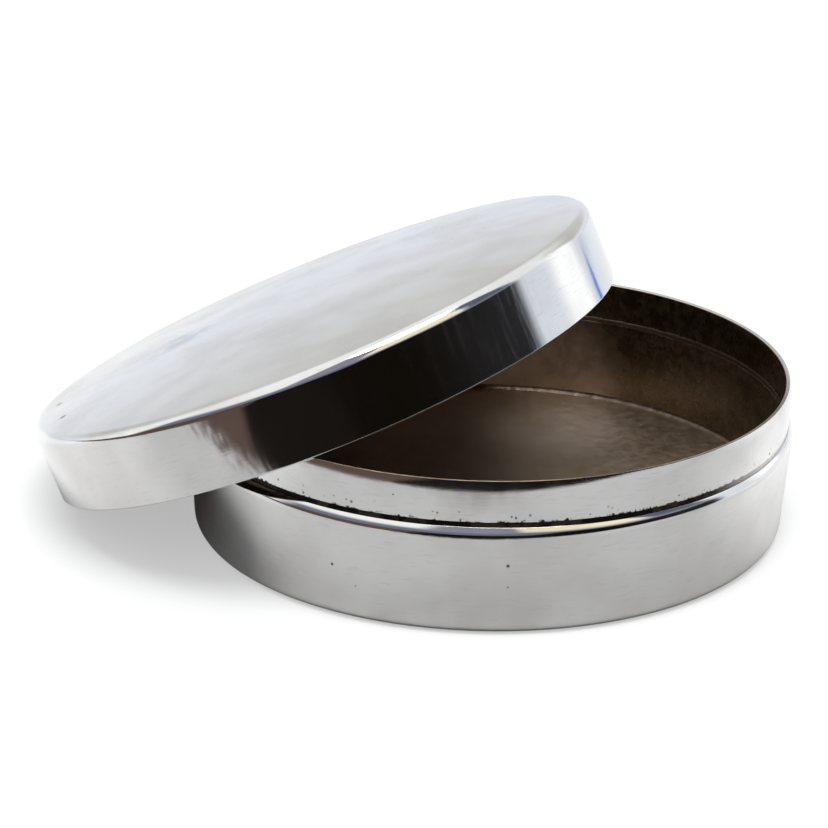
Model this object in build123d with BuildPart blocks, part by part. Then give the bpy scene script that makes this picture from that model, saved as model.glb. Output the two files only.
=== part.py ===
from build123d import *

import os
from math import asin, atan2, cos, degrees, radians, sin, sqrt, tan

# A round box of silver sheet with a slip-on lid, which leans against the open base.
# Millimetres, +Z up. The origin is the centre of the ring that the base stands on.

# Sheet and joints
base_sheet = 0.4
neck_sheet = 0.4
lid_sheet = 0.35
floor_sheet = 0.5
solder_film = 0.2
solder_proud = 0.06
seam_height = 0.5
seam_recess = 0.1
sheet_gap = 0.03

# Base
wall_radius = 30.0
wall_taper = 0.55
foot_round = 1.2
foot_lip = 1.6
floor_height = 1.6
shoulder_height = 10.81
shoulder_step = 0.4
shoulder_round = 0.7
shoulder_turn = 36.0
floor_fillet = 0.5
neck_rise = 4.54
rim_band = 1.2
rim_turn = 12.0

# Lid
lid_clearance = 0.08
lid_height = 9.8
crown_rise = 2.2
crown_bend = 0.75

# The lid's lean: its low edge is on the table and its lower rim lies across the neck's rim
lean_heading = 163.2
lean_room = 0.92
rest_gap = 0.12

foot_radius = wall_radius - wall_taper
neck_radius = wall_radius - shoulder_step
rim_height = shoulder_height + neck_rise
slope_step = shoulder_step - shoulder_round * (1 - cos(radians(shoulder_turn)))
slope_rise = slope_step / tan(radians(shoulder_turn))
shoulder_start = shoulder_height - slope_rise - shoulder_round * sin(radians(shoulder_turn))
rim_radius = rim_band / sin(radians(rim_turn))
rim_inset = rim_radius * (1 - cos(radians(rim_turn)))
floor_top = floor_height + floor_sheet
lid_inner_radius = neck_radius + lid_clearance
lid_radius = lid_inner_radius + lid_sheet


def wall_inner_radius(height):
    """Radius of the band's inner face at a height on its straight, slanted part."""
    return foot_radius + wall_taper * height / shoulder_start - base_sheet


os.makedirs("parts", exist_ok=True)

# Base wall: a slanted band with its foot turned in; its top rounds over into a slope and a land
land_radius = neck_radius - neck_sheet - solder_proud
foot_corner = (foot_radius, 0)
foot_inner_corner = (wall_inner_radius(base_sheet), base_sheet)
lip_radius = foot_radius - foot_lip
with BuildPart() as base_wall:
    with BuildSketch(Plane.XZ) as wall_profile:
        with BuildLine():
            shoulder_center = (wall_radius - shoulder_round, shoulder_start)
            shoulder = CenterArc(shoulder_center, shoulder_round, 0, shoulder_turn)
            Polyline(
                shoulder @ 1,
                (neck_radius, shoulder_height),
                (land_radius, shoulder_height),
                (wall_inner_radius(shoulder_start), shoulder_start),
                foot_inner_corner,
                (lip_radius, base_sheet),
                (lip_radius, 0),
                foot_corner,
                shoulder @ 0,
            )
        make_face()
        fillet(wall_profile.vertices().sort_by_distance(foot_corner)[0], foot_round)
        fillet(wall_profile.vertices().sort_by_distance(foot_inner_corner)[0], foot_round - base_sheet)
    revolve(axis=Axis.Z)
base_wall.part.label = "base_wall"

# Base floor: a disc set into the band, a little above its foot
floor_radius = wall_inner_radius(floor_height) - sheet_gap
with BuildPart() as base_floor:
    with BuildSketch(Plane.XY.offset(floor_height)):
        Circle(floor_radius)
    extrude(amount=floor_sheet)
base_floor.part.label = "base_floor"

# Floor solder: a run with a flat face in the inner corner of wall and floor, equal legs along both
wall_tilt = atan2(wall_taper, shoulder_start)
corner_radius = wall_inner_radius(floor_top) - sheet_gap
fillet_corner = (corner_radius, floor_top)
fillet_wall = (corner_radius + floor_fillet * sin(wall_tilt), floor_top + floor_fillet * cos(wall_tilt))
fillet_foot = (corner_radius - floor_fillet, floor_top)
with BuildPart() as floor_solder:
    with BuildSketch(Plane.XZ):
        with BuildLine():
            Polyline(fillet_foot, fillet_corner, fillet_wall, close=True)
        make_face()
    revolve(axis=Axis.Z)
floor_solder.part.label = "floor_solder"

# Neck solder: a ring between the shoulder's land and the neck, a groove outside and proud inside
with BuildPart() as neck_solder:
    with BuildSketch(Plane.XY.offset(shoulder_height)):
        Circle(neck_radius - seam_recess)
        Circle(land_radius, mode=Mode.SUBTRACT)
    extrude(amount=seam_height)
neck_solder.part.label = "neck_solder"

# Neck band: a straight ring that turns in at the rim
neck_foot = shoulder_height + seam_height
rim_center = (neck_radius - rim_radius, rim_height - rim_band)
with BuildPart() as neck_band:
    with BuildSketch(Plane.XZ):
        with BuildLine():
            outer_rim = CenterArc(rim_center, rim_radius, 0, rim_turn)
            inner_rim = CenterArc(rim_center, rim_radius - neck_sheet, 0, rim_turn)
            Line(outer_rim @ 1, inner_rim @ 1)
            Line(outer_rim @ 0, (neck_radius, neck_foot))
            Line((neck_radius, neck_foot), (neck_radius - neck_sheet, neck_foot))
            Line((neck_radius - neck_sheet, neck_foot), inner_rim @ 0)
        make_face()
    revolve(axis=Axis.Z)
neck_band.part.label = "neck_band"

# The lean: the lid's lower edge lies on two points of the neck's rim, which share a chord
contact_radius = neck_radius - rim_inset
inner_height = lid_height - lid_sheet - lean_room
chord_offset = (contact_radius * rim_height - lid_radius * inner_height) / (rim_height + inner_height)
chord_to_center = sqrt(lid_inner_radius**2 - contact_radius**2 + chord_offset**2)
lean = asin(rim_height / (lid_radius + chord_to_center))
heading = Vector(1, 0, 0).rotate(Axis.Z, lean_heading)
lid_up = heading * sin(lean) + Vector(0, 0, cos(lean))
lid_slope = heading * cos(lean) - Vector(0, 0, sin(lean))
lid_center = heading * (chord_offset + chord_to_center * cos(lean))
lid_center = lid_center + Vector(0, 0, lid_radius * sin(lean) + rest_gap)
lid_section = Plane(origin=lid_center, x_dir=lid_slope, z_dir=lid_slope.cross(lid_up))
lid_axis = Axis(lid_center, lid_up)

# Lid crown: a shallow dome whose edge is rounded and turned down to the skirt
dome_radius = (lid_radius**2 + crown_rise**2) / (2 * crown_rise)
dome_center = lid_height - dome_radius
dome_edge = dome_center + sqrt(dome_radius**2 - lid_radius**2)
crown_edge_round = crown_bend + lid_sheet
crown_foot = dome_edge - 2 * crown_edge_round
under_radius = dome_radius - lid_sheet
under_edge = dome_center + sqrt(under_radius**2 - lid_inner_radius**2)
with BuildPart() as lid_crown:
    with BuildSketch(lid_section) as crown_profile:
        with BuildLine():
            dome_start = degrees(asin((dome_edge - dome_center) / dome_radius))
            under_start = degrees(asin((under_edge - dome_center) / under_radius))
            dome = CenterArc((0, dome_center), dome_radius, dome_start, 90 - dome_start)
            under = CenterArc((0, dome_center), under_radius, under_start, 90 - under_start)
            Line(dome @ 1, under @ 1)
            Line(dome @ 0, (lid_radius, crown_foot))
            Line((lid_radius, crown_foot), (lid_inner_radius, crown_foot))
            Line((lid_inner_radius, crown_foot), under @ 0)
        make_face()
        fillet(crown_profile.vertices().sort_by_distance((lid_radius, dome_edge))[0], crown_edge_round)
        fillet(crown_profile.vertices().sort_by_distance((lid_inner_radius, under_edge))[0], crown_bend)
    revolve(axis=lid_axis)
lid_crown.part.label = "lid_crown"

# Lid solder: a flat ring between skirt and crown, flush outside and proud inside
skirt_top = crown_foot - solder_film
with BuildPart() as lid_solder:
    with BuildSketch(lid_section):
        with BuildLine():
            Polyline(
                (lid_radius, skirt_top),
                (lid_radius, crown_foot),
                (lid_inner_radius - solder_proud, crown_foot),
                (lid_inner_radius - solder_proud, skirt_top),
                close=True,
            )
        make_face()
    revolve(axis=lid_axis)
lid_solder.part.label = "lid_solder"

# Lid skirt: a straight band
with BuildPart() as lid_skirt:
    with BuildSketch(lid_section):
        with BuildLine():
            Polyline(
                (lid_inner_radius, 0),
                (lid_radius, 0),
                (lid_radius, skirt_top),
                (lid_inner_radius, skirt_top),
                close=True,
            )
        make_face()
    revolve(axis=lid_axis)
lid_skirt.part.label = "lid_skirt"

export_step(base_wall.part, "parts/base_wall.step")
export_step(base_floor.part, "parts/base_floor.step")
export_step(floor_solder.part, "parts/floor_solder.step")
export_step(neck_solder.part, "parts/neck_solder.step")
export_step(neck_band.part, "parts/neck_band.step")
export_step(lid_crown.part, "parts/lid_crown.step")
export_step(lid_solder.part, "parts/lid_solder.step")
export_step(lid_skirt.part, "parts/lid_skirt.step")

print("lean", round(degrees(lean), 3), "degrees, chord", round(chord_offset, 3))
print("lid centre", [round(c, 3) for c in lid_center], "axis", [round(c, 5) for c in lid_up])
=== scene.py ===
# %% [markdown]
# # A small silver box for kumkum powder
# The box is made of silver sheet: a low round base, a neck soldered on top of it, and a shallow
# lid that slips over the neck. Here the lid is off and leans on the open base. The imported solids
# fix every size, so this script loads them first and then dresses each one in a finer mesh.

# %% Load the frame
from collections import namedtuple
from math import atan2, cos, degrees, hypot, pi, radians, sin, sqrt, tan

import bmesh
import bpy
from mathutils import Matrix, Vector


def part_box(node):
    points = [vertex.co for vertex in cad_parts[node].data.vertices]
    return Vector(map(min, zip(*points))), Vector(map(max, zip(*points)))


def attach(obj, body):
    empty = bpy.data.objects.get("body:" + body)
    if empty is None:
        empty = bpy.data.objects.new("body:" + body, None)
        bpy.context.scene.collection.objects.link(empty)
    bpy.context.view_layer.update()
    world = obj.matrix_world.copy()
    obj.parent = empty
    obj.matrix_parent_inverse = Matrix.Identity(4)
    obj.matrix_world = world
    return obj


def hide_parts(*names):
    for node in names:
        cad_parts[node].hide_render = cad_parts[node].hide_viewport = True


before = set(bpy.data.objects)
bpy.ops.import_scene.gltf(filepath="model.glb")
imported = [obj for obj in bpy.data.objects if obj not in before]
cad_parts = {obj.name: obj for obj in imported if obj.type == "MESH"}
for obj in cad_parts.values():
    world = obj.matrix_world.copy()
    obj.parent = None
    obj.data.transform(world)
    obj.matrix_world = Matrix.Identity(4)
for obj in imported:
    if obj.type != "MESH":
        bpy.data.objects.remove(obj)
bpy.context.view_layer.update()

MM = 0.001
scene = bpy.context.scene
print("solids in the frame:", sorted(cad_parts))

# %% [markdown]
# ## Measuring the solids
# Radii and heights could be typed in, but then the looks would stay behind when the part changes. So
# they are measured on each solid: how far its points are from its axis, and how high they are.

# %% Radii and heights
Extent = namedtuple("Extent", "inner outer low high")
upright = Matrix.Identity(4)


def about_axis(node, straighten=upright):
    """Radii and heights of a CAD node in mm, once a matrix has put its axis on Z."""
    points = [straighten @ v.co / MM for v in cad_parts[node].data.vertices]
    radii = [hypot(p.x, p.y) for p in points]
    heights = [p.z for p in points]
    return Extent(min(radii), max(radii), min(heights), max(heights))


wall = about_axis("base_wall")
neck = about_axis("neck_band")
print("wall radius", round(wall.outer, 2), "mm, neck's rim at", round(neck.high, 2), "mm")

# %% [markdown]
# ## How the lid leans
# The lid was made upright, and then leant over. Its flat solder ring still faces along its own axis,
# so the direction that most of the ring's area faces is the lid's up. With the downhill direction and
# the front this makes a matrix that carries a lid built upright to its leaning place.

# %% The lid's own axes
def facing(node):
    """The upward direction that most of a flat CAD ring's area faces."""
    sums = {}
    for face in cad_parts[node].data.polygons:
        up = face.normal if face.normal.z > 0 else -face.normal
        key = tuple(round(c, 2) for c in up)
        sums[key] = sums.get(key, Vector()) + up * face.area
    return max(sums.values(), key=lambda total: total.length).normalized()


level = Vector((0, 0, 1))
lid_up = facing("lid_solder")
downhill = (lid_up * lid_up.dot(level) - level).normalized()
lid_front = lid_up.cross(downhill)
lean = Matrix((downhill, lid_front, lid_up)).transposed().to_4x4()
ring_low, ring_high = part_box("lid_solder")
lean.translation = (ring_low + ring_high) / 2
lean.translation += lid_up * about_axis("lid_skirt", lean.inverted()).low * MM
lid_upright = lean.inverted()
print("lid leans", round(degrees(lid_up.angle(level)), 2), "degrees")

# %% [markdown]
# ## The camera
# A long lens looks down on the box by about twenty degrees. Matching the rims of base and lid with
# the photograph gave its place and the directions of its own axes. A Track To constraint could aim
# it, but a matrix also keeps the small tilt of the picture.

# %% Camera
def placed(name, data):
    """A new object in the scene."""
    thing = bpy.data.objects.new(name, data)
    scene.collection.objects.link(thing)
    return thing


camera_data = bpy.data.cameras.new("camera")
camera_data.sensor_width = 36
camera_data.lens = 121.866
camera_data.clip_start = 0.01
camera = placed("camera", camera_data)
camera_place = Vector((0, -0.261376, 0.112021))
camera_right = Vector((0.999474, 0.031779, 0.006419))
camera_up = Vector((-0.017513, 0.362569, 0.931792))
camera_axes = Matrix((camera_right, camera_up, camera_right.cross(camera_up))).transposed()
camera.matrix_world = Matrix.Translation(camera_place) @ camera_axes.to_4x4()
scene.camera = camera
print("camera lens", camera_data.lens, "mm, distance", round(camera_place.length / MM), "mm")

# %% [markdown]
# ## Small tools for node trees
# Shader trees and geometry trees are built the same way: add a node, set its options, and give each
# input a value or a link. Where a node's inputs have no names of their own, as in a Math node, a
# number stands for each, in order. A node that takes a link belongs to the link's tree, so only a
# node that starts a chain has to be told its tree.

# %% Adding a node
def add(tree, kind, inputs=None, **options):
    """Adds a node. inputs maps a socket's name or number to a value or to another node's output."""
    node = tree.nodes.new(kind)
    for option, value in options.items():
        setattr(node, option, value)
    for socket, value in (inputs or {}).items():
        if isinstance(value, bpy.types.NodeSocket):
            tree.links.new(value, node.inputs[socket])
        else:
            node.inputs[socket].default_value = value
    return node


def join(kind, inputs, output=0, **options):
    """One output of a new node, in the tree that the node's first linked input belongs to."""
    links = [value for value in inputs.values() if isinstance(value, bpy.types.NodeSocket)]
    return add(links[0].id_data, kind, inputs, **options).outputs[output]


# %% Sums with numbers
def calc(operation, *values):
    """One Math node on up to three numbers or links."""
    return join("ShaderNodeMath", dict(enumerate(values)), operation=operation)


def times(first, *others):
    """A product. For masks from 0 to 1 it is the part that all of them share."""
    for other in others:
        first = calc("MULTIPLY", first, other)
    return first


def ramp(value, low, high, to_low=0.0, to_high=1.0):
    """A soft step from to_low to to_high as value goes from low to high."""
    inputs = {0: value, 1: low, 2: high, 3: to_low, 4: to_high}
    return join("ShaderNodeMapRange", inputs, interpolation_type="SMOOTHSTEP")


# %% Sums with vectors
def vector_calc(operation, *values, output="Vector"):
    """One Vector Math node. Its output is a Vector, or a Value such as a length."""
    return join("ShaderNodeVectorMath", dict(enumerate(values)), output, operation=operation)


def scaled(vector, amount):
    """A vector times a number."""
    return join("ShaderNodeVectorMath", {0: vector, "Scale": amount}, operation="SCALE")


def axes_of(vector):
    """The three numbers of a vector."""
    return add(vector.id_data, "ShaderNodeSeparateXYZ", {0: vector}).outputs


# %% [markdown]
# ## What silver looks like
# Polished metal has hardly any colour of its own: it shows the room. What makes it look old is how
# unevenly it does so. The polish is hazy in clouds, fine lines run round it from the turning and
# rubbing, and small pits hold dark tarnish. Every pattern is read from the attribute "own", which
# each piece carries: its place about its own axis, before any lean, so lines follow the rim.

# %% Places on a piece
def own_place(tree, stretch=(1, 1, 1)):
    """The piece's own coordinates in millimetres, times a stretch along each axis."""
    own = add(tree, "ShaderNodeAttribute", attribute_name="own").outputs["Vector"]
    return vector_calc("MULTIPLY", own, [s / MM for s in stretch])


def own_across(tree):
    return axes_of(own_place(tree))[0]


def own_depth(tree):
    return axes_of(own_place(tree))[1]


def own_height(tree):
    return axes_of(own_place(tree))[2]


def near(tree, place, close, far):
    """1 within a distance of a place on the piece, falling to 0 at a larger one, in mm."""
    distance = vector_calc("DISTANCE", own_place(tree), place, output="Value")
    return ramp(distance, close, far, 1.0, 0.0)


# %% Clouds and pits
def clouds(tree, per_mm, detail=3.0, stretch=(1, 1, 1), roughness=0.5):
    """A noise pattern with a number of blots per millimetre."""
    inputs = {"Scale": per_mm, "Detail": detail, "Roughness": roughness}
    inputs["Vector"] = own_place(tree, stretch)
    return join("ShaderNodeTexNoise", inputs)


def pits(tree, per_mm, size, share):
    """Scattered specks, 1 in a speck and 0 elsewhere: cells per mm, size in cells, share of cells."""
    cells = add(tree, "ShaderNodeTexVoronoi", {"Vector": own_place(tree), "Scale": per_mm}).outputs
    chance = join("ShaderNodeSeparateColor", {0: cells["Color"]})
    reach = ramp(chance, 1 - share, 1.0, 0.0, size)
    reach = times(reach, calc("ADD", clouds(tree, per_mm=4.0), 0.5))
    inside = calc("SUBTRACT", reach, cells["Distance"])
    return ramp(inside, 0.0, size * 0.3)


# %% Mixing
def rgb(red, green, blue):
    return (red, green, blue, 1.0)


def blend(share, first, second):
    """A colour between two colours."""
    return join("ShaderNodeMix", {0: share, 6: first, 7: second}, 2, data_type="RGBA")


def between(share, first, second):
    """A number between two numbers."""
    return join("ShaderNodeMix", {0: share, 2: first, 3: second})


def hazed(noise, haze):
    """Roughness from the lower to the higher value of haze, over the usual range of a noise."""
    return ramp(noise, 0.3, 0.7, *haze)


# %% A new material and its last links
def new_material(name, **inputs):
    """A material, its node tree and its shader, with some of the shader's inputs set."""
    material = bpy.data.materials.new(name)
    material.use_nodes = True
    shader = material.node_tree.nodes["Principled BSDF"]
    for socket, value in inputs.items():
        shader.inputs[socket].default_value = value
    return material, material.node_tree, shader


def finish_metal(material, shader, colour, rough, relief, strength, depth):
    """Gives a metal its colour, its roughness, and a bump with a strength and a depth in mm."""
    bump = join("ShaderNodeBump", {"Height": relief, "Strength": strength, "Distance": depth * MM})
    ends = {"Base Color": colour, "Roughness": rough, "Normal": bump}
    for socket, end in ends.items():
        material.node_tree.links.new(end, shader.inputs[socket])
    print(material.name, "has", len(material.node_tree.nodes), "nodes")
    return material


# %% [markdown]
# ## Polished silver, outside
# The outside is rubbed bright, but not to a mirror everywhere. One function makes it for wall, neck
# and lid, which differ in how hazy they are and how many pits they carry. Hands polish some places
# more: the lid's skirt mirrors, its crown is hazy, and the wall is hazy up to the bright bead at its
# top. So the haze may change at a height. Fine lines come from a noise squeezed along the axis. The
# marks come first: wipe streaks, a bluish patch painted on the crown as a reflection, and a black
# band with a ragged edge above the neck's seam.

# %% Colours of silver
bright_silver = rgb(0.89, 0.885, 0.875)
grey_silver = rgb(0.78, 0.765, 0.75)
rubbed_silver = rgb(0.66, 0.645, 0.625)
reflected_blue_grey = rgb(0.6, 0.62, 0.65)
black_tarnish = rgb(0.035, 0.028, 0.02)
print("bright silver", bright_silver[:3], "and black tarnish", black_tarnish[:3])

# %% Marks, and a painted reflection
def wiped(tree, strength):
    """Extra roughness in upright streaks, weaker away from the end where the own X is lowest."""
    streak = clouds(tree, per_mm=1.8, detail=4.0, stretch=(1, 1, 0.07), roughness=0.65)
    limit = ramp(own_across(tree), -26, -18, strength, 0.2 * strength)
    return times(ramp(streak, 0.42, 0.7), limit)


def reflection_patch(tree, place):
    """1 in a ragged patch about a place, where a reflection is painted."""
    ragged = ramp(clouds(tree, per_mm=0.45, detail=4.0), 0.32, 0.6)
    return times(near(tree, place, 1.0, 5.0), ragged)


def black_band(tree, low, high):
    """1 in a black band that ends in a ragged edge between two heights, and thins out towards the right.
    """
    ragged = clouds(tree, per_mm=1.7, detail=6.0, roughness=0.75)
    edge = ramp(ragged, 0.36, 0.68, low, high)
    below = ramp(calc("SUBTRACT", own_height(tree), edge), -0.05, 0.07, 1.0, 0.0)
    return times(below, ramp(own_across(tree), 20, 26, 1.0, 0.25))


def scuffs(tree, height):
    """Dark specks that thin out above a height."""
    thinning = ramp(own_height(tree), height + 1.3, height, 0.0, 0.8)
    return times(pits(tree, per_mm=2.4, size=0.42, share=0.3), thinning)


# %% Polished silver
def polished(name, haze, lines, specks, upper=None, band_heights=None, nicks=(), streaks=0.0, reflection_place=None):
    """Aged silver. haze: lowest and highest roughness; lines: depth of the rubbing; specks: for pits;
    upper: a height, its softness and the haze above it; band_heights: two heights for a black band's
    ragged edge; nicks: places with a size; streaks: strength of the wiping; reflection_place: the place
    of a bluish patch, a painted reflection."""
    material, tree, shader = new_material(name, Metallic=1.0)
    slow = clouds(tree, per_mm=0.12)
    smear = clouds(tree, per_mm=0.5, detail=4.0, stretch=(1, 1, 0.35))
    rubbed = clouds(tree, per_mm=0.6, detail=5.0, stretch=(1, 1, 8), roughness=0.65)
    uneven = calc("MULTIPLY_ADD", slow, 0.5, times(smear, 0.5))
    rough = hazed(uneven, haze)
    if streaks:
        rough = calc("ADD", rough, wiped(tree, streaks))
    if upper:
        height, softness, haze_above = upper
        above = ramp(own_height(tree), height - softness, height + softness)
        below = calc("SUBTRACT", 1.0, above)
        rough = between(above, rough, hazed(uneven, haze_above))
        rubbed = times(rubbed, below)
        smear = times(smear, below)
    colour = blend(ramp(slow, 0.35, 0.7), bright_silver, grey_silver)
    colour = blend(ramp(rubbed, 0.52, 0.75, 0.0, 0.6), colour, rubbed_silver)
    # Painted reflection: a bluish grey patch about a place.
    if reflection_place:
        colour = blend(reflection_patch(tree, reflection_place), colour, reflected_blue_grey)
    speck = pits(tree, *specks)
    for *place, size in nicks:
        speck = calc("MAXIMUM", speck, near(tree, place, 0.2 * size, size))
    if band_heights:
        # A black band above the neck's seam, up to a ragged edge, thinner towards the right.
        band_share = black_band(tree, *band_heights)
        colour = blend(band_share, colour, black_tarnish)
        rough = between(band_share, rough, 0.5)
        speck = calc("MAXIMUM", speck, scuffs(tree, band_heights[1]))
    colour = blend(speck, colour, black_tarnish)
    relief = calc("MULTIPLY_ADD", rubbed, lines, times(smear, 0.3))
    relief = calc("MULTIPLY_ADD", speck, -0.8, relief)
    return finish_metal(material, shader, colour, rough, relief, strength=0.5, depth=0.03)


# %% [markdown]
# ## Tarnished silver, inside
# Nobody polishes the inside. Powder and air have turned it brown in blots. A pale patch at the back of
# the floor and low on the wall behind it is painted light, where the floor is lit and the wall mirrors
# it, and a deeper brown far from it is painted shade. It is still metal, but dull, so its roughness
# is high. The neck's cut rim has this finish too, with a grey painted highlight at the back.

# %% Tarnished silver
rim_highlight_grey = rgb(0.66, 0.65, 0.63)


def back_rim_highlight(tree, height):
    """1 on a cut edge at a height, at the back of the piece, where a highlight is painted."""
    edge = ramp(own_height(tree), height - 0.14, height - 0.05)
    return times(edge, ramp(own_depth(tree), -12, 2))


def tarnished(name, pale, brown, haze, lit_patch=None, rim=None):
    """Dull silver under a brown film. lit_patch: a place with painted light, pale within the first of two
    distances from it and fading out by the second, and painted shade in a deeper brown far from it;
    rim: the height of a cut edge, with a painted highlight at its back."""
    material, tree, shader = new_material(name, Metallic=1.0)
    film = clouds(tree, per_mm=0.16, detail=6.0, roughness=0.6)
    blot = clouds(tree, per_mm=0.9, detail=5.0, roughness=0.65)
    both = calc("MULTIPLY_ADD", film, 0.65, times(blot, 0.35))
    clean = ramp(both, 0.34, 0.66)
    rough = hazed(blot, haze)
    if lit_patch:
        place, close, far = lit_patch
        # Painted light: a pale patch about the place.
        patch_light = near(tree, place, close, far)
        clean = calc("MULTIPLY_ADD", patch_light, 0.75, times(clean, 0.25))
        rough = calc("MULTIPLY_ADD", patch_light, 0.1, rough)
        # Painted shade: a deeper brown far from the pale patch.
        painted_shade_brown = rgb(brown[0] * 0.32, brown[1] * 0.3, brown[2] * 0.28)
        brown = blend(near(tree, place, 1.4 * far, 2.7 * far), painted_shade_brown, brown)
    colour = blend(clean, brown, pale)
    if rim:
        # Painted highlight: the rim is lighter grey at the back.
        colour = blend(back_rim_highlight(tree, rim), colour, rim_highlight_grey)
    return finish_metal(material, shader, colour, rough, blot, strength=0.3, depth=0.002)


# %% Three tarnished finishes
# Painted light low on the back of the inner wall, where it mirrors the lit floor, and painted shade far
# from it.
inside_finish = tarnished(
    "inside_silver",
    pale=rgb(0.92, 0.74, 0.58),
    brown=rgb(0.34, 0.255, 0.16),
    haze=(0.22, 0.32),
    lit_patch=((6, 28.7, 4.5), 5, 10.5),
    rim=neck.high,
)
# Painted light at the back of the floor, and painted shade, a deeper brown, towards the front and the
# left.
floor_finish = tarnished(
    "floor_silver",
    pale=rgb(0.62, 0.53, 0.455),
    brown=rgb(0.33, 0.25, 0.18),
    haze=(0.38, 0.48),
    lit_patch=((6.5, 18, 2), 2, 12),
)
lid_inside_finish = tarnished(
    "lid_inside_silver",
    pale=rgb(0.34, 0.27, 0.19),
    brown=rgb(0.2, 0.15, 0.1),
    haze=(0.25, 0.4),
)

# %% [markdown]
# ## Solder
# Solder flows into a seam, and stays rough. Round the neck it is black in its groove and turns grey
# towards the right, along the floor it is brown, and inside the lid a little yellower than the sheet.
# Inside the neck it fades into the brown of the wall at the right. A noise shares out clean and
# dirty solder, and a ramp across the piece changes the colour at one end.

# %% Solder
def soldered(name, clean, dirty, haze, share=0.4, right_end=None):
    """A seam of solder under dirt that covers a share of it. right_end: where the colour changes,
    from one place across to another, and the colour there."""
    material, tree, shader = new_material(name, Metallic=1.0)
    dirt = clouds(tree, per_mm=0.35, detail=6.0, roughness=0.65)
    grains = clouds(tree, per_mm=5.0)
    dirt_edge = 0.7 - share * 0.4
    colour = blend(ramp(dirt, dirt_edge, dirt_edge + 0.1), clean, dirty)
    if right_end:
        start, end, end_colour = right_end
        colour = blend(ramp(own_across(tree), start, end), colour, end_colour)
    rough = hazed(grains, haze)
    return finish_metal(material, shader, colour, rough, grains, strength=0.3, depth=0.008)


# %% Four solder finishes
# Black in the groove under the neck, turning grey towards the right end.
crevice_finish = soldered(
    "crevice_solder",
    clean=rgb(0.05, 0.04, 0.032),
    dirty=rgb(0.012, 0.01, 0.009),
    share=0.7,
    haze=(0.4, 0.6),
    right_end=(20, 27, grey_silver),
)
seam_finish = soldered(
    "seam_solder",
    clean=rgb(0.18, 0.135, 0.105),
    dirty=rgb(0.1, 0.072, 0.055),
    haze=(0.32, 0.44),
)
neck_seam_finish = soldered(
    "neck_solder",
    clean=rgb(0.42, 0.32, 0.25),
    dirty=rgb(0.24, 0.18, 0.14),
    haze=(0.32, 0.44),
    right_end=(10, 25, rgb(0.2, 0.155, 0.11)),
)
lid_seam_finish = soldered(
    "lid_solder",
    clean=rgb(0.74, 0.68, 0.57),
    dirty=rgb(0.45, 0.38, 0.29),
    haze=(0.2, 0.35),
)

# %% [markdown]
# ## Turning a profile on an axis
# Every piece of this box is round, so each follows one rule: a closed profile turned about an axis.
# A Screw modifier could do it. Geometry Nodes can do more in the same step: they bend the turned
# sheet a little out of true, as hand work is, let a solder run swell and shrink, write the "own"
# attribute, and give faces that look inwards their tarnish. The next cells build that tree.

# %% Inputs of the turning tree
turning = bpy.data.node_groups.new("turned_on_an_axis", "GeometryNodeTree")
turning_inputs = {
    "Profile": "Geometry",
    "Steps round": "Int",
    "Out of true": "Float",
    "Foot shift": "Vector",
    "Slack": "Float",
    "Swelling": "Float",
    "Swelling corner": "Vector",
    "Inward": "Vector",
    "Seed": "Float",
    "Outside": "Material",
    "Inside": "Material",
}
for input_name, kind in turning_inputs.items():
    turning.interface.new_socket(input_name, in_out="INPUT", socket_type="NodeSocket" + kind)
turning.interface.new_socket("Piece", in_out="OUTPUT", socket_type="NodeSocketGeometry")
given = add(turning, "NodeGroupInput").outputs
spot = add(turning, "GeometryNodeInputPosition").outputs[0]
print("turning tree inputs:", list(turning_inputs))

# %% [markdown]
# ## From a flat grid to a ring
# A grid has a column for each step round and a row for each point of the profile. A vertex takes its
# angle from its column, and its radius and height from the profile's point for its row. The last
# column and the last row come to lie on the first ones, and are merged with them later.

# %% A column for each step, a row for each point
count = join("GeometryNodeAttributeDomainSize", {0: given["Profile"]}, "Point Count")
grid_size = {
    "Size X": 1.0,
    "Size Y": 1.0,
    "Vertices X": calc("ADD", given["Steps round"], 1),
    "Vertices Y": calc("ADD", count, 1),
}
grid = join("GeometryNodeMeshGrid", grid_size, "Mesh")
across, along, _ = axes_of(spot)
angle = times(calc("ADD", across, 0.5), 2 * pi)
row = calc("ROUND", times(calc("ADD", along, 0.5), count))
circle = {0: calc("COSINE", angle), 1: calc("SINE", angle)}
around = join("ShaderNodeCombineXYZ", circle)
sample = {"Geometry": given["Profile"], "Value": spot, "Index": calc("MODULO", row, count)}
point = join("GeometryNodeSampleIndex", sample, data_type="FLOAT_VECTOR")
print("turning tree with its grid:", len(turning.nodes), "nodes")

# %% [markdown]
# ## Swelling solder and hand-bent sheet
# Solder grows and shrinks about the corner that it fills, by a noise that runs round the ring. Sheet
# that was bent by hand is never quite true: a slow noise moves both of its faces together, more at
# the middle of a dome or floor, where it is slack. A shift of the foot fades out at the shoulder.

# %% Swelling about a corner
seeded = times(given["Seed"], 7.3)
ripples = {"Vector": around, "W": seeded, "Scale": 32.0, "Detail": 4.0, "Roughness": 0.6}
ripple = join("ShaderNodeTexNoise", ripples, noise_dimensions="4D")
ripple = calc("MULTIPLY_ADD", ripple, 2.0, -1.0)
swell = calc("MULTIPLY_ADD", ripple, given["Swelling"], 1.0)
arm = vector_calc("SUBTRACT", point, given["Swelling corner"])
section = vector_calc("ADD", scaled(arm, swell), given["Swelling corner"])
radius, _, height = axes_of(section)
rise = join("ShaderNodeCombineXYZ", {2: height})
true_place = vector_calc("ADD", scaled(around, radius), rise)
print("turning tree with swelling:", len(turning.nodes), "nodes")

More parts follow.
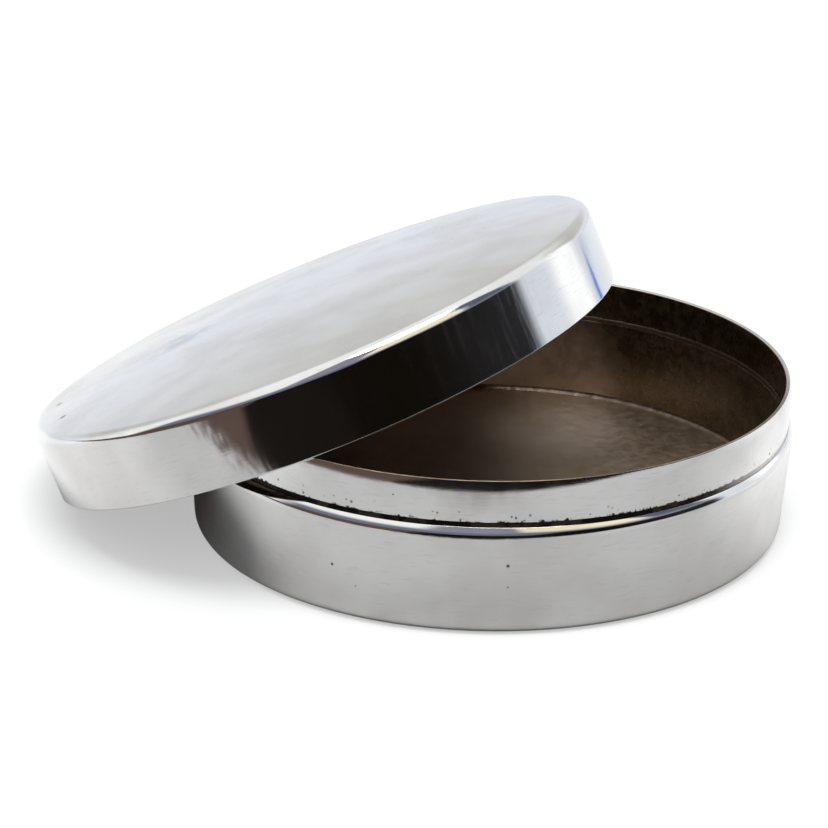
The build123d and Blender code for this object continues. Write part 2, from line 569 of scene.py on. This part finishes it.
# %% Out of true
slack_from = 29 * MM
slack_full = 12 * MM
shoulder_level = 10.8 * MM
waves = {"Vector": true_place, "W": seeded, "Scale": 55.0, "Detail": 1.5}
wave = join("ShaderNodeTexNoise", waves, "Color", noise_dimensions="4D")
wave = vector_calc("SUBTRACT", wave, (0.5, 0.5, 0.5))
inwards = {0: radius, 1: slack_from, 2: slack_full}
middle = join("ShaderNodeMapRange", inwards)
amount = calc("MULTIPLY_ADD", middle, given["Slack"], given["Out of true"])
downwards = {0: height, 1: 0.0, 2: shoulder_level, 3: 1.0, 4: 0.0}
lower = join("ShaderNodeMapRange", downwards)
offset = scaled(wave, times(amount, 2.0))
offset = vector_calc("ADD", offset, scaled(given["Foot shift"], lower))
print("turning tree with hand work:", len(turning.nodes), "nodes")

# %% [markdown]
# ## Closing the sheet and giving it its finishes
# Merging the doubles closes the ring and the poles on the axis, and the edges that are left without a
# face there are deleted. Sharp corners keep a crease. Last, each face's normal is compared with the
# direction away from the axis: a face that looks inwards gets the inside finish.

# %% A closed sheet
merge_distance = 0.0008 * MM
crease_angle = radians(50)


def worked(sheet, kind, inputs=None, **options):
    """The sheet after one more geometry node."""
    return join("GeometryNode" + kind, {"Geometry": sheet, **(inputs or {})}, **options)


sheet = worked(grid, "SetPosition", {"Position": true_place, "Offset": offset})
sheet = worked(sheet, "MergeByDistance", {"Distance": merge_distance})
faces_beside = add(turning, "GeometryNodeInputMeshEdgeNeighbors").outputs[0]
bare = calc("LESS_THAN", faces_beside, 1)
sheet = worked(sheet, "DeleteGeometry", {"Selection": bare}, domain="EDGE")
sheet = worked(sheet, "SetShadeSmooth")
edge_angle = add(turning, "GeometryNodeInputMeshEdgeAngle").outputs[0]
crease = {"Selection": calc("GREATER_THAN", edge_angle, crease_angle), "Shade Smooth": False}
sheet = worked(sheet, "SetShadeSmooth", crease, domain="EDGE")
own = {"Name": "own", "Value": spot}
sheet = worked(sheet, "StoreNamedAttribute", own, data_type="FLOAT_VECTOR", domain="POINT")
print("turning tree with a closed sheet:", len(turning.nodes), "nodes")

# %% Finishes for both sides
from_axis = vector_calc("NORMALIZE", vector_calc("MULTIPLY", spot, (1, 1, 0)))
out_weight, _, up_weight = axes_of(given["Inward"])
upwards = join("ShaderNodeCombineXYZ", {2: up_weight})
outwards = vector_calc("ADD", scaled(from_axis, out_weight), upwards)
normal = add(turning, "GeometryNodeInputNormal").outputs[0]
looks_out = vector_calc("DOT_PRODUCT", normal, outwards, output="Value")
looks_in = calc("LESS_THAN", looks_out, -0.5)
sheet = worked(sheet, "RealizeInstances")
sheet = worked(sheet, "SetMaterial", {"Material": given["Outside"]})
inner_side = {"Selection": looks_in, "Material": given["Inside"]}
sheet = worked(sheet, "SetMaterial", inner_side)
add(turning, "NodeGroupOutput", {0: sheet})
print("whole turning tree:", len(turning.nodes), "nodes")

# %% [markdown]
# ## Profiles with soft corners
# A cut edge of sheet is never knife-sharp, and its small rounding is what catches the light. A
# profile is written as corners with a rounding each. A Bevel modifier would round all of them alike,
# so the helpers below put an arc at every rounded corner, and divide long runs, so that the slow
# noise has points to move.

# %% Rounding a corner
def corner_arc(before, here, after, rounding, steps):
    """Points of the arc that takes the place of a corner between two others."""
    back = (before - here).normalized()
    onward = (after - here).normalized()
    half = back.angle(onward) / 2
    center = here + (back + onward).normalized() * rounding / sin(half)
    start = here + back * rounding / tan(half) - center
    end = here + onward * rounding / tan(half) - center
    sweep = start.angle_signed(end)
    turns = [Matrix.Rotation(-sweep * k / steps, 2) for k in range(steps + 1)]
    return [center + turn @ start for turn in turns]


# %% Dividing long runs
end_step = 0.08


def divided(outline, run):
    """A closed outline whose runs longer than run are divided, with a point close to each end."""
    points = []
    for here, after in zip(outline, outline[1:] + outline[:1]):
        points.append(here)
        length = (after - here).length
        if length > run:
            close = end_step / length
            parts = int(length / run) + 1
            shares = [close] + [k / parts for k in range(1, parts)] + [1 - close]
            points += [here.lerp(after, share) for share in shares]
    return points


# %% A whole profile
def rounded(corners, run=0.6, steps=8):
    """Points of a closed profile from (radius, height, rounding) corners in mm."""
    places = [Vector((r, z)) for r, z, _ in corners]
    outline = []
    for i, here in enumerate(places):
        rounding = corners[i][2]
        if rounding:
            after = places[(i + 1) % len(places)]
            outline += corner_arc(places[i - 1], here, after, rounding, steps)
        else:
            outline.append(here)
    return divided(outline, run)


def arc(center, radius, start, end, steps):
    """Corners along an arc, in degrees, with no rounding of their own."""
    angles = [radians(start + (end - start) * k / steps) for k in range(steps + 1)]
    return [(center[0] + radius * cos(a), center[1] + radius * sin(a), 0) for a in angles]


# %% [markdown]
# ## From a profile to a piece
# A modifier with the turning tree makes the sheet. Its result is copied to a plain mesh, because the
# part is kept without modifiers, and the profile is thrown away. The piece then rides on its body
# and stands for its solid. The pieces of a body share a seed, so that they bend together. A closed
# mesh has no open edge, so these are counted.

# %% Turning a mesh
def turned_mesh(name, points, settings):
    """A plain mesh that the turning tree makes from a profile's points in mm."""
    profile = bpy.data.meshes.new(name + "_profile")
    loop = [(i, (i + 1) % len(points)) for i in range(len(points))]
    profile.from_pydata([(p.x * MM, 0, p.y * MM) for p in points], loop, [])
    source = placed(name + "_profile", profile)
    modifier = source.modifiers.new("turned", "NODES")
    modifier.node_group = turning
    for item in turning.interface.items_tree:
        if item.in_out == "INPUT" and item.name in settings:
            modifier[item.identifier] = settings[item.name]
    evaluated = source.evaluated_get(bpy.context.evaluated_depsgraph_get())
    mesh = bpy.data.meshes.new_from_object(evaluated)
    mesh.name = name
    source.modifiers.remove(modifier)
    bpy.data.objects.remove(source)
    return mesh


# %% Measuring and placing a piece
hand_made = 0.02 * MM
usual_settings = {"Steps round": 384, "Out of true": hand_made, "Inward": (1, 0, 0)}
body_seeds = {"base": 1.0, "lid": 2.0}
body_places = {"base": upright, "lid": lean}


def print_measures(mesh):
    """Prints a mesh's volume, its faces and its open edges."""
    measure = bmesh.new()
    measure.from_mesh(mesh)
    volume = measure.calc_volume(signed=True) / MM**3
    open_edges = sum(not edge.is_manifold for edge in measure.edges)
    measure.free()
    print(mesh.name, round(volume, 1), "mm3,", len(mesh.polygons), "faces,", open_edges, "open edges")


def turn_piece(name, points, body, node, outside, inside=None, settings=None):
    """Turns a profile into a finished mesh that rides on a body and stands for a CAD node."""
    shared = {"Seed": body_seeds[body], "Outside": outside, "Inside": inside or outside}
    mesh = turned_mesh(name, points, {**usual_settings, **shared, **(settings or {})})
    mesh.transform(body_places[body])
    piece = placed(name, mesh)
    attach(piece, body)
    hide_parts(node)
    print_measures(mesh)


# %% [markdown]
# ## The base wall
# A band of sheet, a little wider at the top. Its foot is turned in to a narrow lip, on which the box
# stands, and its top is rounded over into a bead that ends in a land for the neck. The bead starts in
# line with the slanted wall, so no crease shows, and it is rubbed brighter. The band was closed by
# eye: its foot sits a quarter of a millimetre to the left, and the floor in it does too.

# %% Slant and bead of the wall
base_sheet = 0.4
wall_taper = 0.55
bead_round = 1.6
bead_turn = 41
neck_ring = about_axis("neck_solder")
foot_radius = wall.outer - wall_taper
bead_slope = wall.outer - neck.outer - bead_round * (1 - cos(radians(bead_turn)))
bead_rise = bead_slope / tan(radians(bead_turn)) + bead_round * sin(radians(bead_turn))
bead_start = wall.high - bead_rise
bead_center = (wall.outer - bead_round, bead_start)
to_center = Vector((bead_center[0] - foot_radius, bead_start))
to_bead = sqrt(to_center.length_squared - bead_round**2)
wall_slant = atan2(to_center.x, to_center.y) + atan2(bead_round, to_bead)
inner_foot = foot_radius - base_sheet / cos(wall_slant)
print("bead from", round(bead_start, 2), "to", round(wall.high, 2), "mm")

# %% Base wall profile
edge_round = 0.1
foot_round = 1.2
land_outer_round = 0.03
land_inner_round = 0.02
inner_swell = 0.42
inner_round = 2.2
inner_top = inner_foot + bead_start * tan(wall_slant) - inner_swell
wall_corners = [
    (wall.inner, 0, edge_round),
    (foot_radius, 0, foot_round),
    *arc(bead_center, bead_round, -degrees(wall_slant), bead_turn, 32),
    (neck.outer, wall.high, land_outer_round),
    (neck_ring.inner, wall.high, land_inner_round),
    (inner_top, bead_start, inner_round),
    (inner_foot + base_sheet * tan(wall_slant), base_sheet, foot_round - base_sheet),
    (wall.inner, base_sheet, edge_round),
]
print("wall profile corners:", len(wall_corners))

# %% Base wall
foot_shift = Vector((-0.25, 0.05, 0)) * MM
wall_finish = polished(
    "wall_silver",
    haze=(0.17, 0.26),
    lines=0.5,
    specks=(0.5, 0.12, 0.12),
    upper=(bead_start + 0.05, 0.12, (0.06, 0.11)),
    nicks=((1.82, -29.74, 7.16, 0.24), (1.86, -29.74, 4.97, 0.2), (-14.35, -26.12, 5.38, 0.22)),
)
turn_piece(
    "base_wall_sheet",
    rounded(wall_corners),
    body="base",
    node="base_wall",
    outside=wall_finish,
    inside=inside_finish,
    settings={"Foot shift": foot_shift},
)

# %% [markdown]
# ## The neck
# A second, straight band stands on the land, and turns in a little towards its rim so that the lid
# finds its way on. Its foot is black above the seam, up to a ragged edge, so its finish takes a black
# band. Its cut rim is dull like the inside, so faces that look up count as inside too.

# %% Neck profile
solder_proud = 0.06
neck_sheet = neck.outer - neck_ring.inner - solder_proud
neck_inner = neck.outer - neck_sheet
neck_foot_round = 0.05
rim_outer_round = 0.07
rim_inner_round = 0.14
rim_band = 1.2
rim_turn = 12
rim_bend = rim_band / sin(radians(rim_turn))
rim_center = (neck.outer - rim_bend, neck.high - rim_band)
outer_rim = arc(rim_center, rim_bend, 0, rim_turn, 10)
inner_rim = arc(rim_center, rim_bend - neck_sheet, rim_turn, 0, 10)
neck_corners = [
    (neck_inner, neck.low, neck_foot_round),
    (neck.outer, neck.low, neck_foot_round),
    *outer_rim[:-1],
    (*outer_rim[-1][:2], rim_outer_round),
    (*inner_rim[0][:2], rim_inner_round),
    *inner_rim[1:],
]
print("neck from", round(neck.low, 2), "to", round(neck.high, 2), "mm, sheet", round(neck_sheet, 2), "mm")

# %% Neck
neck_finish = polished(
    "neck_silver",
    haze=(0.07, 0.15),
    lines=0.25,
    specks=(1.5, 0.12, 0.1),
    band_heights=(neck.low - 0.16, neck.low + 0.26),
    streaks=0.08,
)
turn_piece(
    "neck_sheet",
    rounded(neck_corners),
    body="base",
    node="neck_band",
    outside=neck_finish,
    inside=inside_finish,
    settings={"Inward": (2, 0, -6.5)},
)

# %% [markdown]
# ## The seam under the neck
# Solder joins neck and shoulder. Outside it lies back in a groove and is black, and inside it stands
# a little proud as a thin line. Its section grows and shrinks a little as it runs round, which needs
# more steps than a smooth sheet. A thin skin of air keeps it off its neighbours.

# %% Neck solder
skin = 0.012
seam_steps = 900
seam_middle = (wall.high + neck_ring.high) / 2
seam_corners = [
    (neck_ring.inner, wall.high + skin, 0.02),
    (neck_ring.outer, wall.high + skin, 0.03),
    (neck_ring.outer, neck_ring.high - skin, 0.03),
    (neck_ring.inner + 0.05, neck_ring.high - skin, 0.02),
    (neck_ring.inner, seam_middle + 0.1, 0.05),
]
turn_piece(
    "neck_seam",
    rounded(seam_corners, run=0.15),
    body="base",
    node="neck_solder",
    outside=crevice_finish,
    inside=neck_seam_finish,
    settings={
        "Steps round": seam_steps,
        "Swelling": 0.06,
        "Swelling corner": (neck_ring.outer * MM, 0, seam_middle * MM),
        "Inward": (1, 0, -1),
    },
)

# %% [markdown]
# ## The floor and its seam
# A disc is set into the band a little above its foot, and a thin run of solder fills the corner
# between them. Brushed in by hand, it is uneven: it swells and shrinks about the corner. Its face is
# a little hollow, so its profile has a point between the ends of its two legs.

# %% Floor
floor = about_axis("base_floor")
floor_slack = 0.03 * MM
floor_corners = [
    (0, floor.low, 0),
    (floor.outer, floor.low, edge_round),
    (floor.outer, floor.high, edge_round),
    (0, floor.high, 0),
]
turn_piece(
    "floor_sheet",
    rounded(floor_corners, run=0.9),
    body="base",
    node="base_floor",
    outside=floor_finish,
    settings={"Slack": floor_slack, "Foot shift": foot_shift},
)

# %% Floor solder
fillet = about_axis("floor_solder")
fillet_leg = fillet.high - floor.high
corner_radius = fillet.inner + fillet_leg
hollow_radius = fillet.inner + fillet_leg * 0.62
hollow_height = floor.high + fillet_leg * 0.42
fillet_corners = [
    (fillet.inner, floor.high + skin, 0),
    (corner_radius, floor.high + skin, 0),
    (fillet.outer - skin, fillet.high, 0),
    (hollow_radius, hollow_height, 0),
]
turn_piece(
    "floor_seam",
    rounded(fillet_corners, run=0.12),
    body="base",
    node="floor_solder",
    outside=seam_finish,
    settings={
        "Steps round": seam_steps,
        "Swelling": 0.3,
        "Swelling corner": (corner_radius * MM, 0, floor.high * MM),
        "Foot shift": foot_shift,
    },
)

# %% [markdown]
# ## The lid
# The lid is a straight skirt under a shallow dome, joined by solder that was filed flush. It is
# turned upright like the rest, and the lean matrix then carries it to its place. The dome has more
# slack than the bands: large thin sheet never stays true in the middle. One finish covers skirt and
# crown. It mirrors below the crown's edge and is hazy above it.

# %% Lid finish
skirt = about_axis("lid_skirt", lid_upright)
crown = about_axis("lid_crown", lid_upright)
crown_rise = 2.2
crown_edge = crown.high - crown_rise
# The lid's finish carries a bluish patch on the crown, a painted reflection.
lid_finish = polished(
    "lid_silver",
    haze=(0.045, 0.09),
    lines=0.08,
    specks=(0.4, 0.07, 0.06),
    upper=(crown_edge + 0.05, 0.25, (0.22, 0.28)),
    nicks=((25.26, 9.73, 8.0, 0.55), (21.25, 16.5, 8.02, 0.55)),
    streaks=0.11,
    reflection_place=(12.5, 3.5, 9.4),
)

# %% Lid skirt
skirt_corners = [
    (skirt.inner, 0, edge_round),
    (skirt.outer, 0, edge_round),
    (skirt.outer, skirt.high, 0),
    (skirt.inner, skirt.high, 0),
]
turn_piece(
    "lid_skirt_sheet",
    rounded(skirt_corners),
    body="lid",
    node="lid_skirt",
    outside=lid_finish,
    inside=lid_inside_finish,
)

# %% Lid crown profile
crown_round = 1.1
dome_steps = 44
lid_sheet = skirt.outer - skirt.inner
dome_radius = (skirt.outer**2 + crown_rise**2) / (2 * crown_rise)
dome_center = crown.high - dome_radius
under_radius = dome_radius - lid_sheet


def dome_height(ball_radius, r):
    return dome_center + sqrt(ball_radius**2 - r**2)


spread = [1 - k / dome_steps for k in range(2, dome_steps + 1)]
crown_corners = [
    (skirt.inner, crown.low, 0),
    (skirt.outer, crown.low, 0),
    (skirt.outer, dome_height(dome_radius, skirt.outer), crown_round),
    *[(skirt.outer * s, dome_height(dome_radius, skirt.outer * s), 0) for s in spread],
    *[(skirt.inner * s, dome_height(under_radius, skirt.inner * s), 0) for s in reversed(spread)],
    (skirt.inner, dome_height(under_radius, skirt.inner), crown_round - lid_sheet),
]
print("dome radius", round(dome_radius, 1), "mm")

# %% Lid crown
crown_slack = 0.05 * MM
turn_piece(
    "lid_crown_sheet",
    rounded(crown_corners, run=0.9, steps=16),
    body="lid",
    node="lid_crown",
    outside=lid_finish,
    inside=lid_inside_finish,
    settings={"Slack": crown_slack, "Inward": (1, 0, 1)},
)

# %% Lid solder
lid_ring = about_axis("lid_solder", lid_upright)
lid_seam_round = 0.05
lid_seam_corners = [
    (lid_ring.inner, skirt.high, lid_seam_round),
    (skirt.outer, skirt.high, 0),
    (skirt.outer, crown.low, 0),
    (lid_ring.inner, crown.low, lid_seam_round),
]
turn_piece(
    "lid_seam",
    rounded(lid_seam_corners),
    body="lid",
    node="lid_solder",
    outside=lid_finish,
    inside=lid_seam_finish,
)

# %% [markdown]
# ## The sheet it stands on
# A wide pale sheet carries the box and takes its soft shadow. Matte paper alone would look grey, and
# more light would bleach the box. So what is seen of the paper is mixed with a white glow, which
# sends no light on to the box: partly near the box, to keep its shadow, and wholly far away.

# %% Matte sheets for the stage
stage_reach = 3.0
matte = {"Roughness": 0.9, "Specular IOR Level": 0.0}


def on_stage(name, points, faces, material):
    """A mesh that belongs to the stage and not to the box."""
    mesh = bpy.data.meshes.new(name)
    mesh.from_pydata(points, [], faces)
    mesh.materials.append(material)
    thing = placed(name, mesh)
    return thing


def stage_sheet(name, height, material):
    """A wide flat square on the stage."""
    ends = ((-1, -1), (1, -1), (1, 1), (-1, 1))
    points = [(x * stage_reach, y * stage_reach, height) for x, y in ends]
    return on_stage(name, points, [(0, 1, 2, 3)], material)


def seen_directly(tree):
    """1 for what the camera, a reflection or glass sees, 0 for light that is sent on."""
    path = add(tree, "ShaderNodeLightPath").outputs
    seen = calc("MAXIMUM", path["Is Camera Ray"], path["Is Glossy Ray"])
    return calc("MAXIMUM", seen, path["Is Transmission Ray"])


# %% White paper
near_box = 0.12
far_away = 0.5
glow_near = 0.45
glow_far = 1.0
paper, paper_tree, paper_shader = new_material("white_paper", **matte)
paper_shader.inputs["Base Color"].default_value = rgb(0.9, 0.9, 0.9)
paper_spot = add(paper_tree, "ShaderNodeTexCoord").outputs["Object"]
paper_distance = vector_calc("LENGTH", paper_spot, output="Value")
whiteness = ramp(paper_distance, near_box, far_away, glow_near, glow_far)
whiteness = times(seen_directly(paper_tree), whiteness)
paper_glow = add(paper_tree, "ShaderNodeEmission", {"Strength": 1.0}).outputs[0]
paper_parts = {0: whiteness, 1: paper_shader.outputs[0], 2: paper_glow}
paper_mix = join("ShaderNodeMixShader", paper_parts)
paper_tree.links.new(paper_mix, paper_tree.nodes["Material Output"].inputs["Surface"])
table = stage_sheet("table", 0, paper)
print(table.name, "reaches", stage_reach, "m to each side")

# %% [markdown]
# ## A room for the silver to mirror
# Silver under an even white sky looks like plaster. In the photograph the lid's skirt mirrors a dark
# room in front and a bright window to the right, and the crown mirrors a pale wall behind. A dome
# round the box stands in for them, painted by azimuth, 0 in front and 90 to the right, and by
# elevation. Only reflections see it: it shades nothing, and no view shows it.

# %% Dome for the room
lowest = -2


def reflected_only(card):
    """Hides a thing from all but reflections."""
    card.visible_camera = False
    card.visible_diffuse = False
    card.visible_transmission = False
    card.visible_shadow = False
    return card


def room_dome(name, distance, material, around=72, up=24):
    """A dome whose UV map runs once round it and from its lowest elevation to the top."""
    points = []
    faces = []
    uvs = []
    for j in range(up + 1):
        for i in range(around + 1):
            a = radians(-180 + 360 * i / around)
            e = radians(lowest + (90 - lowest) * j / up)
            points.append((distance * cos(e) * sin(a), -distance * cos(e) * cos(a), distance * sin(e)))
            uvs.append((i / around, j / up))
    for j in range(up):
        for i in range(around):
            k = j * (around + 1) + i
            faces.append((k, k + 1, k + around + 2, k + around + 1))
    dome = on_stage(name, points, faces, material)
    layer = dome.data.uv_layers.new(name="across")
    for loop, corner in zip(dome.data.loops, layer.data):
        corner.uv = uvs[loop.vertex_index]
    return reflected_only(dome)


# %% Angles in the room
room_paint, paint_tree, spare_shader = new_material("room_paint")
paint_tree.nodes.remove(spare_shader)
room_uv = add(paint_tree, "ShaderNodeUVMap", uv_map="across").outputs[0]
room_across = axes_of(room_uv)
azimuth = calc("MULTIPLY_ADD", room_across[0], 360.0, -180.0)
elevation = calc("MULTIPLY_ADD", room_across[1], 90.0 - lowest, lowest)


def span(value, low, high, soft_low, soft_high):
    """1 between two values, with a soft step at each end."""
    fall = ramp(value, high - soft_high, high + soft_high, 1.0, 0.0)
    return times(ramp(value, low - soft_low, low + soft_low), fall)


def painted(room, patches):
    """The room with patches over it: a colour, a span of azimuth and a span of elevation each."""
    for colour, azimuths, elevations in patches:
        patch = times(span(azimuth, *azimuths), span(elevation, *elevations))
        room = blend(patch, room, colour)
    return room


# %% Behind and beside the box
white_wall = rgb(0.97, 0.985, 1.0)
window = rgb(1.18, 1.2, 1.22)
beside_window = rgb(0.79, 0.84, 0.92)
low_wall = rgb(0.84, 0.87, 0.94)
high_wall = rgb(0.595, 0.595, 0.58)
back_wall = blend(ramp(elevation, 2, 17), low_wall, high_wall)
room = painted(
    white_wall,
    (
        (back_wall, (130, 190, 2, 1), (-5, 40, 1, 15)),
        (back_wall, (-190, -112, 1, 15), (-5, 40, 1, 15)),
        (window, (112, 132, 6, 3), (-5, 25, 1, 10)),
        (beside_window, (80, 112, 2, 6), (-5, 30, 1, 10)),
    ),
)
print("room behind the box:", len(paint_tree.nodes), "nodes")

# %% In front of the box, high up
ceiling = rgb(0.97, 0.98, 0.97)
grey_beam = rgb(0.27, 0.26, 0.33)
warm_lamp = rgb(1.0, 0.9, 0.66)
dark_beam = rgb(0.11, 0.12, 0.18)
dusk = rgb(0.17, 0.18, 0.25)
upper_room = painted(
    ceiling,
    (
        (grey_beam, (-24, 13, 5, 3), (20, 75, 8, 8)),
        (warm_lamp, (14, 62, 3, 3), (24, 70, 4, 8)),
        (dark_beam, (63, 96, 3, 6), (22, 75, 3, 8)),
    ),
)
in_front = span(azimuth, -78, 91, 6, 4)
upper = times(in_front, ramp(elevation, 14, 30))
middle = times(in_front, ramp(elevation, 18, 34, 1.0, 0.0))
room = blend(upper, room, upper_room)
room = blend(middle, room, dusk)
print("room with its upper front:", len(paint_tree.nodes), "nodes")

# %% In front of the box, low down
warm_black = rgb(0.006, 0.0045, 0.003)
soft_black = rgb(0.02, 0.02, 0.0215)
brown_shade = rgb(0.1, 0.07, 0.055)
darkness = blend(ramp(azimuth, 35, 88), warm_black, soft_black)
darkness = blend(ramp(azimuth, -22, -30), darkness, brown_shade)
dark_top = ramp(azimuth, 12, 30, 7.0, 19.0)
above_dark = calc("SUBTRACT", elevation, dark_top)
low_down = times(in_front, ramp(above_dark, -3, 3, 1.0, 0.0))
room = blend(low_down, room, darkness)
shine = join("ShaderNodeEmission", {"Color": room, "Strength": 1.0})
paint_tree.links.new(shine, paint_tree.nodes["Material Output"].inputs["Surface"])
dome = room_dome("room_dome", 1.2, room_paint)
print("room dome faces:", len(dome.data.polygons))

# %% [markdown]
# ## The table as the silver sees it
# The photograph's table is grey near the box and ends a hand's breadth in front of it, where the
# dark begins. The wall, the neck and the left of the skirt mirror it. A second sheet, just above the
# white paper, carries these tones as painted light and shade: darker at the front and close to the
# box, lighter to the right and far left. Again only reflections see it, and it takes the box's shadow.

# %% Grey of the table
mirrored, table_tree, table_shader = new_material("mirrored_table", **matte)
table_spot = add(table_tree, "ShaderNodeTexCoord").outputs["Object"]
table_mm = vector_calc("MULTIPLY", table_spot, (1 / MM, 1 / MM, 0))
table_x, table_y, _ = axes_of(table_mm)
from_box = vector_calc("LENGTH", table_mm, output="Value")
grey_range = (0.445, 0.76)
# Painted shade and light: the grey darkens towards the front and lightens towards the back.
tone = calc("MULTIPLY_ADD", table_y, 0.0055, 0.66)
tone = calc("MAXIMUM", calc("MINIMUM", tone, grey_range[1]), grey_range[0])
far_back = ramp(table_y, 110, 330)
shade_near_box = ramp(from_box, 32, 42, 1.0, 0.0)
light_right = times(
    span(table_x, 27, 52, 3, 5),
    ramp(table_y, -22, -4),
    ramp(table_y, 2, 14, 1.0, 0.3),
)
light_far_left = times(ramp(table_x, -40, -50), ramp(table_y, -40, -20))
shade_front_right = times(ramp(table_x, 5, 30), span(table_y, -40, 0, 8, 15))
# Painted light and shade: darker far back, close to the box and at the front right, lighter to the right
# and far left.
changes = (
    (far_back, -0.1), (shade_near_box, -0.09), (light_right, 0.15), (light_far_left, 0.085), (shade_front_right, -0.055),
)
for area, change in changes:
    tone = calc("MULTIPLY_ADD", area, change, tone)
print("table greys from", grey_range[0], "to", grey_range[1])

# %% [markdown]
# ## Where the table ends
# The table's front edge isn't straight in the silver, so a Float Curve node holds it as a few points:
# a place across, and how far back the edge is there, both in millimetres. A noise makes it ragged.
# Past the edge lie brown and black, and a thin blue streak lies far behind the box.

# %% Dark edge of the table
half_width = 200
edge_points = (
    (-200, 40), (-90, -36), (-60, -58), (-46, -62), (-40, -70),
    (0, -66), (39, -86), (109, -127), (200, -170),
)
edge_across = calc("MULTIPLY_ADD", table_x, 0.5 / half_width, 0.5)
edge = add(table_tree, "ShaderNodeFloatCurve", {"Value": edge_across})
edge_curve = edge.mapping.curves[0]
for k, (x, y) in enumerate(edge_points):
    share = ((x / half_width + 1) / 2, (y / half_width + 1) / 2)
    curve_point = edge_curve.points[k] if k < 2 else edge_curve.points.new(*share)
    curve_point.location = share
    curve_point.handle_type = "VECTOR"
edge.mapping.update()
ragged = {"Vector": table_mm, "Scale": 0.4, "Detail": 6.0, "Roughness": 0.68}
ragged = join("ShaderNodeTexNoise", ragged)
edge_depth = calc("MULTIPLY_ADD", edge.outputs[0], 2.0 * half_width, -half_width)
beyond = calc("SUBTRACT", edge_depth, table_y)
beyond = calc("ADD", beyond, ramp(ragged, 0.3, 0.7, -9.0, 9.0))
print("the table's dark edge has", len(edge_curve.points), "points")

# %% Colours of the table
blue_grey = rgb(0.78, 0.82, 0.9)
brown_dark = rgb(0.085, 0.058, 0.047)
black_dark = rgb(0.008, 0.0065, 0.0055)
streak_blue = rgb(0.05, 0.22, 0.8)
table_colour = join("ShaderNodeCombineColor", {0: tone, 1: tone, 2: tone})
table_colour = blend(ramp(table_y, 90, 260), table_colour, blue_grey)
table_colour = blend(ramp(beyond, -4, 2), table_colour, brown_dark)
aside = calc("MULTIPLY_ADD", table_y, -0.35, calc("ADD", table_x, 17.7))
black = times(ramp(beyond, 1, 6), ramp(aside, -2.5, 2.5))
table_colour = blend(black, table_colour, black_dark)
off_line = calc("MULTIPLY_ADD", table_y, -0.875, table_x)
bearing = calc("DIVIDE", off_line, table_y)
streak = times(
    span(bearing, -0.02, 0.056, 0.012, 0.012),
    ramp(table_y, 900, 350, 0.4, 1.0),
    ramp(table_y, 150, 250),
)
table_colour = blend(streak, table_colour, streak_blue)
table_tree.links.new(table_colour, table_shader.inputs["Base Color"])
mirrored_height = 0.02 * MM
mirrored_table = reflected_only(stage_sheet("mirrored_table", mirrored_height, mirrored))
print(mirrored_table.name, "has", len(table_tree.nodes), "nodes")

# %% [markdown]
# ## Light
# The world is an even white sky, which lights the paper and fills the bright parts of the silver. It
# is a little stronger where it is seen than where it lights. A large soft lamp overhead adds a gentle
# direction and the shadow under the leaning lid.

# %% World
sky_light = 0.7
sky_seen = 1.0
world = bpy.data.worlds.new("white_sky")
scene.world = world
world.use_nodes = True
sky = world.node_tree
background = sky.nodes["Background"]
background.inputs["Color"].default_value = white_wall
sky_strength = calc("MULTIPLY_ADD", seen_directly(sky), sky_seen - sky_light, sky_light)
sky.links.new(sky_strength, background.inputs["Strength"])
print("sky strength", sky_light, "as light and", sky_seen, "where it is seen")

# %% Lamp
lamp_data = bpy.data.lights.new("soft_lamp", "AREA")
lamp_data.shape = "DISK"
lamp_data.size = 0.5
lamp_data.energy = 5.0
lamp = placed("soft_lamp", lamp_data)
lamp.location = (0.05, -0.2, 0.85)
lamp.rotation_euler = (-lamp.location).to_track_quat("-Z", "Y").to_euler()
scene.view_settings.view_transform = "Standard"
print("lamp", lamp_data.energy, "W,", round(lamp.location.length, 2), "m away")
